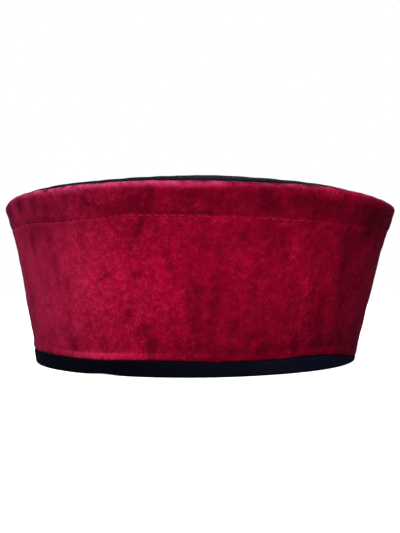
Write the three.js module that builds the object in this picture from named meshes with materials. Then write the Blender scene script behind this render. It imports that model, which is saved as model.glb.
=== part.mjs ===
// A round, flared velvet cap: a stiff wall whose top edge is turned over and topstitched,
// a domed cloth top sewn in behind that edge, and a folded binding along the lower edge.
// Millimetres, +Z up. The origin is on the floor under the middle of the rim, and the front faces -Y.
import * as THREE from 'three';

// Driving sizes
const HEAD_GIRTH = 550; // round the inside of the binding
const CAP_HEIGHT = 87.2; // floor to the top of the rolled rim
const BINDING_HEIGHT = 7.2; // strip of binding that shows below the velvet
const STITCH_HEIGHT = 71.7; // row of topstitching
const HEM_FOOT = 63.5; // lower edge of the velvet that is turned in at the rim
const WALL_FLARE = 0.217; // outward run for each millimetre of rise, binding to hem
const HEM_FLARE = 0.317; // the same along the hem, where the wall is doubled
const WALL_THICKNESS = 3; // velvet on its stiff backing
const HEM_THICKNESS = 4.2; // the same with the velvet turned in behind it
const TOP_CLOTH = 1.5; // cloth of the domed top
const BINDING_CLOTH = 1; // one layer of the binding
const BINDING_WIDTH = 4; // the binding's two layers and the wall's edge between them
const BINDING_FOLD = 1.2; // rounding of the fold that rests on the floor
const BINDING_LIP = 0.4; // bevel on the binding's two upper edges
const DOME_RISE = 16.3; // middle of the top above its own edge
const DOME_POWER = 3; // how flat the dome stays before it falls to its edge
const DOME_SEAT_DROP = 0.6; // edge of the domed top below the middle of the rim's roll
const LIP_OVERHANG = 0.3; // velvet standing out past the binding below it
const SEAT_GAP = 0.3; // air between two pieces that are sewn together
const LEAN = 2.7; // how far the soft cap's foot stands to the left of its rim
const RIM_TILT = 1.8; // drop of the rim at the right, and rise at the left
const RIM_DROOP = 2; // drop of the rim at both sides, left and right
const DROOP_POWER = 4; // how late that drop begins on the way round from the front

// How finely the round pieces are cut
const SEGMENTS = 80;
const DOME_RINGS = 8;
const ROLL_STEPS = 6;

// Places worked out from the driving sizes
const bindingInside = HEAD_GIRTH / (2 * Math.PI);
const bindingOutside = bindingInside + BINDING_WIDTH;
const wallFoot = BINDING_HEIGHT + SEAT_GAP;
const footRadius = bindingOutside + LIP_OVERHANG;
const hemFootRadius = footRadius + WALL_FLARE * (HEM_FOOT - wallFoot);
const wallLean = Math.atan(WALL_FLARE);
const hemLean = Math.atan(HEM_FLARE);
const rollRadius = HEM_THICKNESS / 2;
const rollHeight = CAP_HEIGHT - rollRadius;
const rimRadius = hemFootRadius + HEM_FLARE * (rollHeight - HEM_FOOT);
const domeEdgeHeight = rollHeight - DOME_SEAT_DROP;

// Rows of the wall, from the binding up: how far the outer face stands proud of the straight flare,
// and how far behind that straight flare the inner face lies.
const WALL_ROWS = [
  { name: 'lip on the binding', height: wallFoot, proud: 0, backing: WALL_THICKNESS },
  { name: 'swell over the seam', height: wallFoot + 2.2, proud: 0.6, backing: WALL_THICKNESS },
  { name: 'end of the swell', height: wallFoot + 6, proud: 0.1, backing: WALL_THICKNESS },
  { name: 'low wall', height: 26, proud: 0.2, backing: WALL_THICKNESS },
  { name: 'middle wall', height: 39, proud: 0, backing: WALL_THICKNESS },
  { name: 'high wall', height: 51, proud: 0, backing: WALL_THICKNESS },
  { name: 'foot of the hem', height: HEM_FOOT, proud: 0.1, backing: WALL_THICKNESS },
  { name: 'lower side of the groove', height: STITCH_HEIGHT - 2, proud: 0.2, backing: HEM_THICKNESS },
  { name: 'stitched groove', height: STITCH_HEIGHT, proud: -0.7, backing: HEM_THICKNESS },
  { name: 'upper side of the groove', height: STITCH_HEIGHT + 2, proud: 0.3, backing: HEM_THICKNESS },
  { name: 'hem', height: STITCH_HEIGHT + 7, proud: 0.2, backing: HEM_THICKNESS },
];

// Slow unevenness of a hand-sewn round: waves in the radius, fullest at the rim.
// A turn is in degrees round from the front towards +X, here and in the tables below.
const ROUND_WAVES = [
  { lobes: 6, swing: 0.35, crestDeg: 0 },
  { lobes: 4, swing: 0.2, crestDeg: 0 },
  { lobes: 10, swing: 0.12, crestDeg: 5 },
];
const BASE_SHARE = 0.4; // share of these waves left at the floor

// Waves in the height of a sewn edge, each fading in from one height and out towards another.
const EDGE_WAVES = [
  { name: 'binding', lobes: 3, swing: 0.7, crestDeg: 30, from: 0, at: BINDING_HEIGHT, to: 30 },
  { name: 'stitching', lobes: 3, swing: 0.55, crestDeg: -30, from: 40, at: STITCH_HEIGHT, to: CAP_HEIGHT },
  { name: 'rim', lobes: 8, swing: 0.2, crestDeg: -21, from: STITCH_HEIGHT, at: rollHeight, to: Infinity },
];

// Shallow dents in the velvet: turn, middle height, half width, half length up the wall, and depth.
const DENTS = [
  { name: 'crease over the binding', turnDeg: -14, height: 18, width: 5, length: 10, depth: 0.9 },
  { name: 'press mark under the stitching', turnDeg: -15, height: 64, width: 6, length: 7, depth: 0.6 },
  { name: 'slack on the right', turnDeg: 34, height: 44, width: 13, length: 16, depth: 0.8 },
  { name: 'slack at the back', turnDeg: 150, height: 40, width: 14, length: 18, depth: 0.8 },
];

const { degToRad, smoothstep } = THREE.MathUtils;
const point = (radius, height) => new THREE.Vector2(radius, height);

// Radius of the straight flare at a height, below and along the hem.
function flareRadius(height) {
  const flare = height > HEM_FOOT ? HEM_FLARE : WALL_FLARE;
  return hemFootRadius + flare * (height - HEM_FOOT);
}

// Radius of the hem's inner face at a height.
function hemInside(height) {
  return flareRadius(height) - HEM_THICKNESS / Math.cos(hemLean);
}

// Turn of a place on the cap, counted from the front towards +X.
function turnOf(position) {
  return Math.atan2(position.x, -position.y);
}

// Swing of a wave at a turn.
function waveAt(wave, turn) {
  return wave.swing * Math.cos(wave.lobes * (turn - degToRad(wave.crestDeg)));
}

// Moves a point of the true round by the unevenness of the sewing and by the soft cap's lean.
function sewnUnevenly(position) {
  const turn = turnOf(position);
  const radius = Math.hypot(position.x, position.y);
  const reach = Math.min(1, radius / bindingInside);
  const lift = Math.min(1, position.z / CAP_HEIGHT);
  let outward = 0;
  for (const wave of ROUND_WAVES) {
    outward += waveAt(wave, turn) * (BASE_SHARE + (1 - BASE_SHARE) * lift);
  }
  const droop = RIM_DROOP * Math.sin(turn) ** DROOP_POWER;
  let upward = -droop * smoothstep(position.z, STITCH_HEIGHT, rollHeight);
  for (const wave of EDGE_WAVES) {
    const fadeIn = smoothstep(position.z, wave.from, wave.at);
    const fadeOut = smoothstep(position.z, wave.at, wave.to);
    upward += waveAt(wave, turn) * fadeIn * (1 - fadeOut);
  }
  const scale = radius > 0 ? 1 + (outward * reach) / radius : 1;
  position.x *= scale;
  position.y *= scale;
  position.z += upward * reach - (RIM_TILT * lift * position.x) / rimRadius;
  position.x -= LEAN * (1 - lift);
}

// Depth of the dents at a place on the wall's outer face.
function dentDepth(position, radius) {
  let depth = 0;
  for (const dent of DENTS) {
    const turnAway = turnOf(position) - degToRad(dent.turnDeg);
    const across = (radius * Math.atan2(Math.sin(turnAway), Math.cos(turnAway))) / dent.width;
    const along = (position.z - dent.height) / dent.length;
    depth += dent.depth * Math.exp(-across * across - along * along);
  }
  return depth;
}

// Turns a closed outline of (radius, height) points once round the cap's axis.
function turned(outline, dented = false) {
  const geometry = new THREE.LatheGeometry(outline, SEGMENTS);
  geometry.rotateX(Math.PI / 2);
  const places = geometry.getAttribute('position');
  const position = new THREE.Vector3();
  for (let i = 0; i < places.count; i += 1) {
    position.fromBufferAttribute(places, i);
    const radius = Math.hypot(position.x, position.y);
    if (dented && radius > flareRadius(position.z) - WALL_THICKNESS / 2) {
      const scale = 1 - dentDepth(position, radius) / radius;
      position.x *= scale;
      position.y *= scale;
    }
    sewnUnevenly(position);
    places.setXYZ(i, position.x, position.y, position.z);
  }
  geometry.computeVertexNormals();
  return geometry;
}

// The wall: a tongue inside the binding, the flared outer face, the rolled rim and the inner face.
function wallOutline() {
  const tongueOutside = bindingOutside - BINDING_CLOTH - SEAT_GAP;
  const tongueInside = bindingInside + BINDING_CLOTH + SEAT_GAP;
  const tongueFoot = BINDING_CLOTH + SEAT_GAP;
  const outline = [point(tongueInside, tongueFoot), point(tongueOutside, tongueFoot)];
  outline.push(point(tongueOutside, wallFoot));
  for (const row of WALL_ROWS) {
    outline.push(point(flareRadius(row.height) + row.proud, row.height));
  }
  const middle = point(rimRadius - rollRadius / Math.cos(hemLean), rollHeight);
  for (let step = 0; step <= ROLL_STEPS; step += 1) {
    const angle = -hemLean + (Math.PI * step) / ROLL_STEPS;
    outline.push(point(middle.x + rollRadius * Math.cos(angle), middle.y + rollRadius * Math.sin(angle)));
  }
  for (const row of WALL_ROWS.toReversed()) {
    const lean = row.height > HEM_FOOT ? hemLean : wallLean;
    outline.push(point(flareRadius(row.height) - row.backing / Math.cos(lean), row.height));
  }
  outline.push(point(tongueInside, wallFoot));
  outline.push(outline[0].clone());
  return outline;
}

// The domed top: its cloth turns down inside the hem as far as the stitching.
function topOutline() {
  const edge = hemInside(domeEdgeHeight) - SEAT_GAP;
  const domeHeight = (radius) => domeEdgeHeight + DOME_RISE * (1 - (radius / edge) ** DOME_POWER);
  const outer = [];
  for (let ring = 0; ring < DOME_RINGS; ring += 1) {
    const radius = edge * Math.sin((Math.PI / 2) * (ring / DOME_RINGS));
    outer.push(point(radius, domeHeight(radius)));
  }
  const bend = TOP_CLOTH / 2;
  const skirtFoot = STITCH_HEIGHT + bend;
  outer.push(point(edge - bend, domeHeight(edge - bend)));
  outer.push(point(edge - bend * HEM_FLARE, domeEdgeHeight - bend));
  outer.push(point(hemInside(skirtFoot) - SEAT_GAP, skirtFoot));
  const innerBend = domeEdgeHeight - 2 * TOP_CLOTH;
  const inner = [point(hemInside(skirtFoot) - SEAT_GAP - TOP_CLOTH, skirtFoot)];
  inner.push(point(hemInside(innerBend) - SEAT_GAP - TOP_CLOTH, innerBend));
  for (const place of outer.slice(0, DOME_RINGS).toReversed()) {
    inner.push(point(place.x * (1 - (2 * TOP_CLOTH) / edge), place.y - TOP_CLOTH));
  }
  return [...outer, ...inner].toReversed();
}

// The binding: a folded strip, flat where it rests, with a slot that takes the wall's tongue.
function bindingOutline() {
  const foldMiddle = BINDING_FOLD * (1 - Math.SQRT1_2);
  const outside = [
    point(bindingOutside - BINDING_FOLD, 0),
    point(bindingOutside - foldMiddle, foldMiddle),
    point(bindingOutside, BINDING_FOLD),
    point(bindingOutside, BINDING_HEIGHT - BINDING_LIP),
    point(bindingOutside - BINDING_LIP, BINDING_HEIGHT),
    point(bindingOutside - BINDING_CLOTH, BINDING_HEIGHT),
    point(bindingOutside - BINDING_CLOTH, BINDING_CLOTH),
  ];
  const mirrored = (place) => point(bindingInside + bindingOutside - place.x, place.y);
  const outline = [...outside, ...outside.toReversed().map(mirrored)];
  outline.push(outline[0].clone());
  return outline;
}

const redVelvet = new THREE.MeshStandardMaterial({ color: 0x8c0526, roughness: 0.95, metalness: 0 });
const blackCloth = new THREE.MeshStandardMaterial({ color: 0x0b0d17, roughness: 0.9, metalness: 0 });

// One named piece of the cap.
function piece(name, geometry, material) {
  const mesh = new THREE.Mesh(geometry, material);
  mesh.name = name;
  return mesh;
}

const cap = new THREE.Group();
cap.name = 'velvet_cap';
cap.add(piece('side_wall', turned(wallOutline(), true), redVelvet));
cap.add(piece('domed_top', turned(topOutline()), blackCloth));
cap.add(piece('edge_binding', turned(bindingOutline()), blackCloth.clone()));

export default cap;
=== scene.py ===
"""Looks of a round, flared velvet cap with a domed black top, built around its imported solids."""
import math
from typing import NamedTuple

import bpy
import numpy as np
from mathutils import Color, Matrix


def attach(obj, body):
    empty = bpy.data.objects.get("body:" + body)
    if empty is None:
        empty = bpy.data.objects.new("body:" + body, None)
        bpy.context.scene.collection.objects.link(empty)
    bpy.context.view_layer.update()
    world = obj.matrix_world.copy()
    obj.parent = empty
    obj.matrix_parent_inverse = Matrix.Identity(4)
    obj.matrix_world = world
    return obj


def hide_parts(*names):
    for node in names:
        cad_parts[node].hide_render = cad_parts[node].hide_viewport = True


bl_info = {
    "name": "Velvet cap",
    "version": (1, 0, 0),
    "blender": (4, 5, 0),
    "location": "3D View > Sidebar > Velvet cap",
    "description": "Builds a round, flared velvet cap with a domed black top, and a plain stage for it",
    "category": "Add Mesh",
}

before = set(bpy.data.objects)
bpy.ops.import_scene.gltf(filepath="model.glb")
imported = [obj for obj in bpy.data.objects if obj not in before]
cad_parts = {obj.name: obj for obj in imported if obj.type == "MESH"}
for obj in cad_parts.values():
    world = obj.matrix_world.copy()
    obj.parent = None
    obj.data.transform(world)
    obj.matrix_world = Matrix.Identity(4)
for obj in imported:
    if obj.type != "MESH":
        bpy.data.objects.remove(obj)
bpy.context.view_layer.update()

MM = 0.001
BODY = "root"
CLOTH_MAP = "cloth"  # UV map in metres: round the cap, and along the cloth's outline
LAY_AND_PAINTED_LIGHT = "pile_lay_and_painted_light"  # pile brushing with painted light and shade: -1 dark, away from the light, 1 bright, towards it
CRUSH = "pile_crush"  # how strongly the pile is crushed: 1 as usual
TIPS_AND_PAINTED_SHEEN = "pile_tips_and_painted_sheen"  # how far the pale tips of the pile are painted on as a painted sheen: 0 to 1
LIGHTENING = "cloth_lightening"  # how far black cloth is lightened: 0 to 1


# Properties that a user can change

def number(name, value, description, **settings):
    """A property that holds one number."""
    return bpy.props.FloatProperty(name=name, description=description, default=value, **settings)


def millimetres(name, size, description, least=0):
    """A length, given here in millimetres."""
    return number(name, size * MM, description, min=least * MM, precision=5, unit="LENGTH")


def ratio(name, value, description):
    """A plain ratio of two sizes."""
    return number(name, value, description, precision=4)


def angle(name, degrees, description):
    """An angle, given here in degrees."""
    return number(name, math.radians(degrees), description, precision=4, subtype="ANGLE")


def focal_length(name, size, description):
    """A focal length in millimetres."""
    return number(name, size, description, unit="CAMERA")


def colour(name, shade, description):
    """A linear colour."""
    return bpy.props.FloatVectorProperty(
        name=name, description=description, default=shade, size=3,
        min=0.0, max=1.0, precision=4, subtype="COLOR",
    )


class VelvetCapSizes(bpy.types.PropertyGroup):
    """Sizes of the sewn cap"""

    head_girth: millimetres("Head girth", 550, "Round the inside of the binding")
    cap_height: millimetres("Cap height", 87.2, "Floor to the top of the rolled rim")
    binding_height: millimetres("Binding height", 7.2, "Strip of binding that shows below the velvet")
    stitch_height: millimetres("Stitch height", 71.7, "Floor to the row of topstitching")
    hem_foot: millimetres("Hem foot", 63.5, "Lower edge of the velvet that is turned in at the rim")
    wall_flare: ratio("Wall flare", 0.217, "Outward run for each unit of rise, binding to hem")
    hem_flare: ratio("Hem flare", 0.317, "The same along the hem, where the wall is doubled")
    wall_thickness: millimetres("Wall thickness", 3, "Velvet on its stiff backing")
    hem_thickness: millimetres("Hem thickness", 4.2, "The same with the velvet turned in behind it")
    top_cloth: millimetres("Top cloth", 1.5, "Thickness of the domed top")
    binding_cloth: millimetres("Binding cloth", 1, "One layer of the binding")
    binding_width: millimetres("Binding width", 4, "Both layers, and the wall's edge between them")
    binding_fold: millimetres("Binding fold", 1.6, "Rounding of the fold that rests on the floor")
    dome_rise: millimetres("Dome rise", 13.6, "Middle of the top above its own edge")
    dome_seat_drop: millimetres("Dome seat drop", 0.6, "Top's edge below the middle of the rim's roll")
    lip_overhang: millimetres("Lip overhang", 0.3, "Velvet standing out past the binding below it")
    seat_gap: millimetres("Seat gap", 0.3, "Air between two pieces that are sewn together")
    lean: millimetres("Lean", 3.45, "How far the soft cap's foot stands to the left of its rim")
    rim_tilt: millimetres("Rim tilt", 1.8, "Drop of the rim at the right, and rise at the left")
    rim_droop: millimetres("Rim droop", 2, "Drop of the rim at both sides, left and right")
    stitch_pitch: millimetres("Stitch pitch", 3.75, "From one stitch to the next")
    stitch_length: millimetres("Stitch length", 2.7, "Thread that shows between two needle holes")
    thread_width: millimetres("Thread width", 0.6, "Thickness of the topstitching thread")


class VelvetCapColours(bpy.types.PropertyGroup):
    """Colours of the cap's cloth and thread"""

    # The wall is mixed between deep and bright by the pile's random crush and by painted light and shade.
    velvet_deep: colour("Velvet, deep", (0.105, 0.0001, 0.0075), "Pile brushed away from the light")
    velvet_bright: colour("Velvet, bright", (0.42, 0.0001, 0.0265), "Pile brushed towards the light")
    # The tips colour also paints the sheen on the rolled rim, over the binding and on the left side.
    velvet_tips: colour("Velvet tips", (0.36, 0.040, 0.120), "Pale tips of the pile, where it stands up")
    velvet_sheen: colour("Velvet sheen", (0.8, 0.3, 0.85), "Haze on the tips of the pile")
    backing_dark: colour("Backing, dark", (0.020, 0.002, 0.004), "Gaps between the backing's threads")
    backing_light: colour("Backing, light", (0.085, 0.008, 0.016), "Crowns of the backing's threads")
    top_deep: colour("Top, deep", (0.0005, 0.0005, 0.0018), "Short black pile, brushed down")
    top_bright: colour("Top, bright", (0.0014, 0.0016, 0.0060), "Short black pile, brushed up")
    binding_dark: colour("Binding, dark", (0.0004, 0.0008, 0.0022), "Gaps between the binding's threads")
    binding_light: colour("Binding, light", (0.0007, 0.0010, 0.0028), "Crowns of the binding's threads")
    # The binding is mixed towards this lighter colour round to the right, and kept darkest at the front
    # left.
    binding_lighter: colour("Binding, faded", (0.0075, 0.0100, 0.0270), "The same where the black is faded")
    black_sheen: colour("Black sheen", (0.42, 0.45, 1.0), "Cool haze on the black cloth")
    thread_dark: colour("Thread, dark", (0.15, 0.0015, 0.013), "Between the thread's fibres")
    thread_light: colour("Thread, light", (0.36, 0.009, 0.038), "Crowns of the thread's fibres")


class VelvetCapStage(bpy.types.PropertyGroup):
    """Camera and floor of the stage"""

    camera_distance: millimetres("Camera distance", 399.4, "In front of the cap's axis")
    camera_side: millimetres("Camera side", -0.6, "To the right of the cap's axis", least=-100)
    camera_height: millimetres("Camera height", 41.9, "Above the floor")
    camera_pitch: angle("Camera pitch", 1.61, "Upward tilt of the view")
    camera_roll: angle("Camera roll", -0.351, "Turn of the view about its own axis")
    camera_lens: focal_length("Camera lens", 45.74, "For a sensor 36 mm wide")
    floor_width: millimetres("Floor width", 8000, "Side of the square floor")


# Small helpers for curves and random unevenness

def smooth_step(value, low, high):
    """0 below low, 1 above high and a smooth rise between them."""
    share = np.clip((value - low) / (high - low), 0.0, 1.0)
    return share * share * (3 - 2 * share)


def hill(value, start, top, end):
    """0 up to start, 1 at the top and 0 again from end on."""
    return smooth_step(value, start, top) * (1 - smooth_step(value, top, end))


def bump(value, middle, width):
    """A soft hump of height 1."""
    return np.exp(-(((value - middle) / width) ** 2))


def from_table(value, table):
    """Value read off a table of (place, value) rows, with straight lines between them."""
    places, values = zip(*table)
    return np.interp(value, places, values)


def turn_apart(turn, other):
    """Signed turn from other to turn, from half a turn back to half a turn on."""
    return (turn - other + math.pi) % math.tau - math.pi


def side_by_side(*values):
    """The values of each point in a row, such as its coordinates."""
    return np.stack(np.broadcast_arrays(*values), axis=-1)


class Grain(NamedTuple):
    """Random unevenness: spread, size of its bumps up and round the cap in millimetres, and seed."""

    spread: float
    up: float
    round: float
    seed: int


DISC_WAVES = 48


def uneven_disc(across, ahead, grain):
    """Random unevenness of a flat round: many crossing waves."""
    chance = np.random.default_rng(grain.seed)
    field = np.zeros(np.broadcast(across, ahead).shape)
    for _ in range(DISC_WAVES):
        across_rate, ahead_rate = chance.standard_normal(2) / (grain.round * MM, grain.up * MM)
        field += np.cos(across * across_rate + ahead * ahead_rate + chance.uniform(0, math.tau))
    return grain.spread * field / math.sqrt(DISC_WAVES / 2)


# The cap's shape

class Wave(NamedTuple):
    """A slow wave round the cap: lobes, swing in millimetres, and turn of one crest in degrees."""

    lobes: int
    swing: float
    crest: float

    def at(self, turn):
        """Swing at a turn, in metres."""
        return self.swing * MM * np.cos(self.lobes * (turn - math.radians(self.crest)))


class Sag(NamedTuple):
    """A place where a sewn edge hangs low: turn and half width in degrees, and drop in millimetres."""

    turn: float
    width: float
    drop: float

    def at(self, turn):
        """Drop at a turn, in metres."""
        aside = np.degrees(turn_apart(turn, math.radians(self.turn)))
        return self.drop * MM * bump(aside, 0, self.width)


# Unevenness of a hand-sewn round: waves in the radius, all but one of them fullest at the rim,
# waves up and down each sewn edge, and places where an edge hangs low or is pulled up
ROUND_WAVES = (Wave(6, 0.35, 0), Wave(4, 0.2, 0), Wave(10, 0.12, 5))
FOOT_WAVE = Wave(2, 0.45, 0)
EDGE_WAVES = {"binding": Wave(3, 0.7, 30), "stitching": Wave(3, 0.55, -30), "rim": Wave(8, 0.2, -21)}
EDGE_SAGS = {
    "floor": (Sag(-28.5, 5, -0.6),),
    "binding": (
        Sag(-52, 9, -0.5), Sag(-13, 13, -0.55), Sag(9, 8, 0.35), Sag(18, 9, 0.6), Sag(28, 8, 0.9),
        Sag(44, 7, 0.6), Sag(57, 7, 1.0), Sag(69, 12, 3.7),
    ),
    "stitching": (Sag(-52, 8, -0.4), Sag(-38, 10, 0.7), Sag(-12, 10, -0.4), Sag(56, 12, 0.8)),
    "rim": (
        Sag(-67, 6, 1.1), Sag(-58, 18, -0.7), Sag(-14, 17, 0.3), Sag(-13, 6, -0.3), Sag(-2, 8, 0.3),
        Sag(18, 12, -0.25), Sag(36, 9, -0.5), Sag(49, 4, -0.2), Sag(62, 8, 0.2),
    ),
}
FLOOR_REACH = 6 * MM  # where the lower edge is lifted off the floor, the lift is gone above this height
BINDING_REACH = 30 * MM  # the lower edge's unevenness is gone above this height
STITCHING_REACH = 40 * MM  # the stitching's unevenness is gone below this height
BASE_SHARE = 0.4  # share of the waves in the radius that is left at the floor
FOOT_WAVE_REACH = 40 * MM  # the foot's own wave is gone above this height
FOOT_SLIP = 0.55 * MM  # how far the binding's upper edge is pulled to the left
FOOT_SLIP_REACH = 18 * MM  # the pull is gone above this height
DROOP_POWER = 4  # how late the rim's droop begins on the way round from the front
DOME_POWER = 2  # how flat the dome stays before it falls to its edge
DOME_ROUNDNESS = 0.4  # how steeply it meets its edge: 1 slopes, 0.5 and less stand upright
HEM_BEND = 1.5 * MM  # softness of the bend at the foot of the hem


class CapShape:
    """Places on the cap, worked out from its sizes."""

    def __init__(self, sizes):
        self.sizes = sizes
        self.binding_inside = sizes.head_girth / math.tau
        self.binding_outside = self.binding_inside + sizes.binding_width
        self.wall_foot = sizes.binding_height + sizes.seat_gap
        self.foot_radius = self.binding_outside + sizes.lip_overhang
        self.hem_foot_radius = self.foot_radius + sizes.wall_flare * (sizes.hem_foot - self.wall_foot)
        self.wall_lean = math.atan(sizes.wall_flare)
        self.hem_lean = math.atan(sizes.hem_flare)
        self.roll_radius = sizes.hem_thickness / 2
        self.roll_height = sizes.cap_height - self.roll_radius
        self.rim_radius = self.hem_foot_radius + sizes.hem_flare * (self.roll_height - sizes.hem_foot)
        self.dome_edge_height = self.roll_height - sizes.dome_seat_drop
        self.dome_edge = self.hem_inside(self.dome_edge_height) - sizes.seat_gap
        self.stitches = round(math.tau * self.flare_radius(sizes.stitch_height) / sizes.stitch_pitch)

    def flare_radius(self, height):
        """Radius of the straight flare at a height, with a soft bend at the foot of the hem."""
        above = height - self.sizes.hem_foot
        beyond = HEM_BEND * np.logaddexp(0, above / HEM_BEND)
        extra = self.sizes.hem_flare - self.sizes.wall_flare
        return self.hem_foot_radius + self.sizes.wall_flare * above + extra * beyond

    def hem_inside(self, height):
        """Radius of the hem's inner face at a height."""
        return self.flare_radius(height) - self.sizes.hem_thickness / math.cos(self.hem_lean)

    def edge_shares(self, height, rim_share):
        """How far points at a height follow each sewn edge."""
        sizes = self.sizes
        return {
            "binding": hill(height, 0, sizes.binding_height, BINDING_REACH),
            "stitching": hill(height, STITCHING_REACH, sizes.stitch_height, sizes.cap_height),
            "rim": smooth_step(height, sizes.stitch_height, self.roll_height) * rim_share,
            "slip": hill(height, 0, sizes.binding_height, FOOT_SLIP_REACH),
            "floor": 1 - smooth_step(height, 0, FLOOR_REACH),
        }

    def placed(self, radius, height, turn, rim_share=1):
        """Points of the true round, moved by the unevenness of the sewing and by the soft cap's lean."""
        sizes = self.sizes
        reach = np.minimum(1, radius / self.binding_inside)
        lift = np.minimum(1, height / sizes.cap_height)
        outward = sum(wave.at(turn) for wave in ROUND_WAVES) * (BASE_SHARE + (1 - BASE_SHARE) * lift)
        outward = outward + FOOT_WAVE.at(turn) * (1 - smooth_step(height, 0, FOOT_WAVE_REACH))
        shares = self.edge_shares(height, rim_share)
        upward = -sizes.rim_droop * np.sin(turn) ** DROOP_POWER * shares["rim"]
        for edge, wave in EDGE_WAVES.items():
            upward = upward + wave.at(turn) * shares[edge]
        for edge, sags in EDGE_SAGS.items():
            upward = upward - sum(sag.at(turn) for sag in sags) * shares[edge]
        across = (radius + outward * reach) * np.sin(turn) - FOOT_SLIP * shares["slip"]
        back = -(radius + outward * reach) * np.cos(turn)
        up = height + upward * reach - sizes.rim_tilt * lift * across / self.rim_radius
        return side_by_side(across - sizes.lean * (1 - lift), back, up)


class ClothGrid:
    """Points of a round piece of cloth: rows along its outline, and columns round from the back seam."""

    def __init__(self, outline, columns):
        ahead = np.roll(outline, -1, axis=0)
        along = ahead - np.roll(outline, 1, axis=0)
        along = along / np.linalg.norm(along, axis=1, keepdims=True)
        self.rows = len(outline)
        self.columns = columns
        self.size = (self.rows, columns)
        self.radius = outline[:, :1]
        self.height = outline[:, 1:]
        self.turn = -math.pi + math.tau * np.arange(columns)[None, :] / columns
        self.degrees = np.degrees(self.turn)
        self.from_back_seam = turn_apart(self.turn, math.pi) * self.radius
        self.out_radius = along[:, 1:]
        self.out_height = -along[:, :1]
        self.length = np.concatenate([[0], np.cumsum(np.linalg.norm(ahead - outline, axis=1))])
        self.girth = math.tau * outline[:, 0].max()

    def uneven(self, *grains):
        """Sum of random unevennesses, each softened noise."""
        cell = self.girth / self.columns
        noise_rows = math.ceil(self.length[-1] / cell) + 1
        place = self.length[:-1] / cell
        below = np.floor(place).astype(int)
        share = (place - below)[:, None]
        total = np.zeros(self.size)
        for grain in grains:
            field = np.random.default_rng(grain.seed).standard_normal((noise_rows, self.columns))
            up = np.fft.fftfreq(noise_rows)[:, None] * grain.up * MM / cell
            along = np.fft.fftfreq(self.columns)[None, :] * grain.round * MM / cell
            soften = np.exp(-2 * math.pi**2 * (up**2 + along**2))
            field = np.fft.ifft2(np.fft.fft2(field) * soften).real
            field = (field - field.mean()) / field.std() * grain.spread
            total += field[below] * (1 - share) + field[(below + 1) % noise_rows] * share
        return total

    def moved_out(self, outward):
        """Radius and height of the points after they move outward from the cloth."""
        return self.radius + outward * self.out_radius, self.height + outward * self.out_height


# Meshes

def arc(radius, height, size, start, end, steps):
    """Points of an outline on an arc about a middle, from one angle to another, both ends among them."""
    angles = np.linspace(start, end, steps + 1)
    return side_by_side(radius + size * np.cos(angles), height + size * np.sin(angles))


def add_object(name, data):
    """An object in the scene."""
    made = bpy.data.objects.new(name, data)
    bpy.context.scene.collection.objects.link(made)
    return made


def new_piece(name, points, faces):
    """A smooth mesh object in the scene."""
    mesh = bpy.data.meshes.new(name)
    mesh.from_pydata(points.reshape(-1, 3).tolist(), [], faces)
    mesh.shade_smooth()
    return add_object(name, mesh)


def grid_faces(rows, columns, closed):
    """Faces of a round piece, between its rows; a closed outline joins the last row to the first."""
    row = np.arange(rows if closed else rows - 1)[:, None]
    column = np.arange(columns)[None, :]
    next_row = (row + 1) % rows
    next_column = (column + 1) % columns
    corners = side_by_side(
        row * columns + column,
        row * columns + next_column,
        next_row * columns + next_column,
        next_row * columns + column,
    )
    return corners.reshape(-1, 4)


def add_map(piece, places):
    """UV map from a place on the flat cloth, in metres, for each corner of each face."""
    layer = piece.data.uv_layers.new(name=CLOTH_MAP)
    layer.uv.foreach_set("vector", places.astype(np.float32).ravel())


def add_point_map(piece, places):
    """The same map from a place for each point."""
    corners = np.zeros(len(piece.data.loops), dtype=np.int32)
    piece.data.loops.foreach_get("vertex_index", corners)
    add_map(piece, places.reshape(-1, 2)[corners])


def closed_cloth(name, points, grid):
    """A piece with a closed outline, mapped round the cap and along the outline."""
    piece = new_piece(name, points, grid_faces(*grid.size, closed=True).tolist())
    row = np.arange(grid.rows)[:, None]
    column = np.arange(grid.columns)[None, :]
    rounds = grid.girth * side_by_side(column, column + 1, column + 1, column) / grid.columns
    along = side_by_side(*(grid.length[row + step] for step in (0, 0, 1, 1)))
    add_map(piece, side_by_side(rounds, along))
    return piece


def store(piece, grid, values):
    """Stores values at the points of a piece, by their names."""
    for name, value in values.items():
        stored = piece.data.attributes.new(name, "FLOAT", "POINT")
        everywhere = np.broadcast_to(value, grid.size)
        stored.data.foreach_set("value", everywhere.astype(np.float32).ravel())


def finish_piece(piece, node, slot, *materials):
    """Gives a piece its materials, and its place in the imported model."""
    for material in materials:
        piece.data.materials.append(material)
    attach(piece, BODY)
    if node:
        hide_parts(node)


# Shader nodes

MIDDLE = 0.5  # middle of a range from 0 to 1


def feed(tree, node, inputs):
    """Links inputs of a node to sockets, or sets them to values."""
    for label, source in inputs.items():
        if isinstance(source, bpy.types.NodeSocket):
            tree.links.new(source, node.inputs[label])
        elif isinstance(source, Color):
            node.inputs[label].default_value = (*source, 1.0)
        else:
            node.inputs[label].default_value = source


def add_node(tree, kind, inputs=None, **settings):
    """A node with its settings, and with its inputs fed."""
    node = tree.nodes.new(kind)
    for name, value in settings.items():
        setattr(node, name, value)
    feed(tree, node, inputs or {})
    return node


def calculate(tree, operation, *values, clamp=False):
    """Output of a Math node."""
    inputs = dict(enumerate(values))
    return add_node(tree, "ShaderNodeMath", inputs, operation=operation, use_clamp=clamp).outputs["Value"]


def mixed(tree, share, first, second, kind="RGBA"):
    """Colour or number between two others."""
    inputs = {"Factor": share, "A": first, "B": second}
    return add_node(tree, "ShaderNodeMix", inputs, data_type=kind).outputs["Result"]


def turned_by(tree, places, turn):
    """Places turned in the plane of the cloth."""
    inputs = {"Vector": places, "Angle": turn}
    return add_node(tree, "ShaderNodeVectorRotate", inputs, rotation_type="Z_AXIS").outputs["Vector"]


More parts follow.
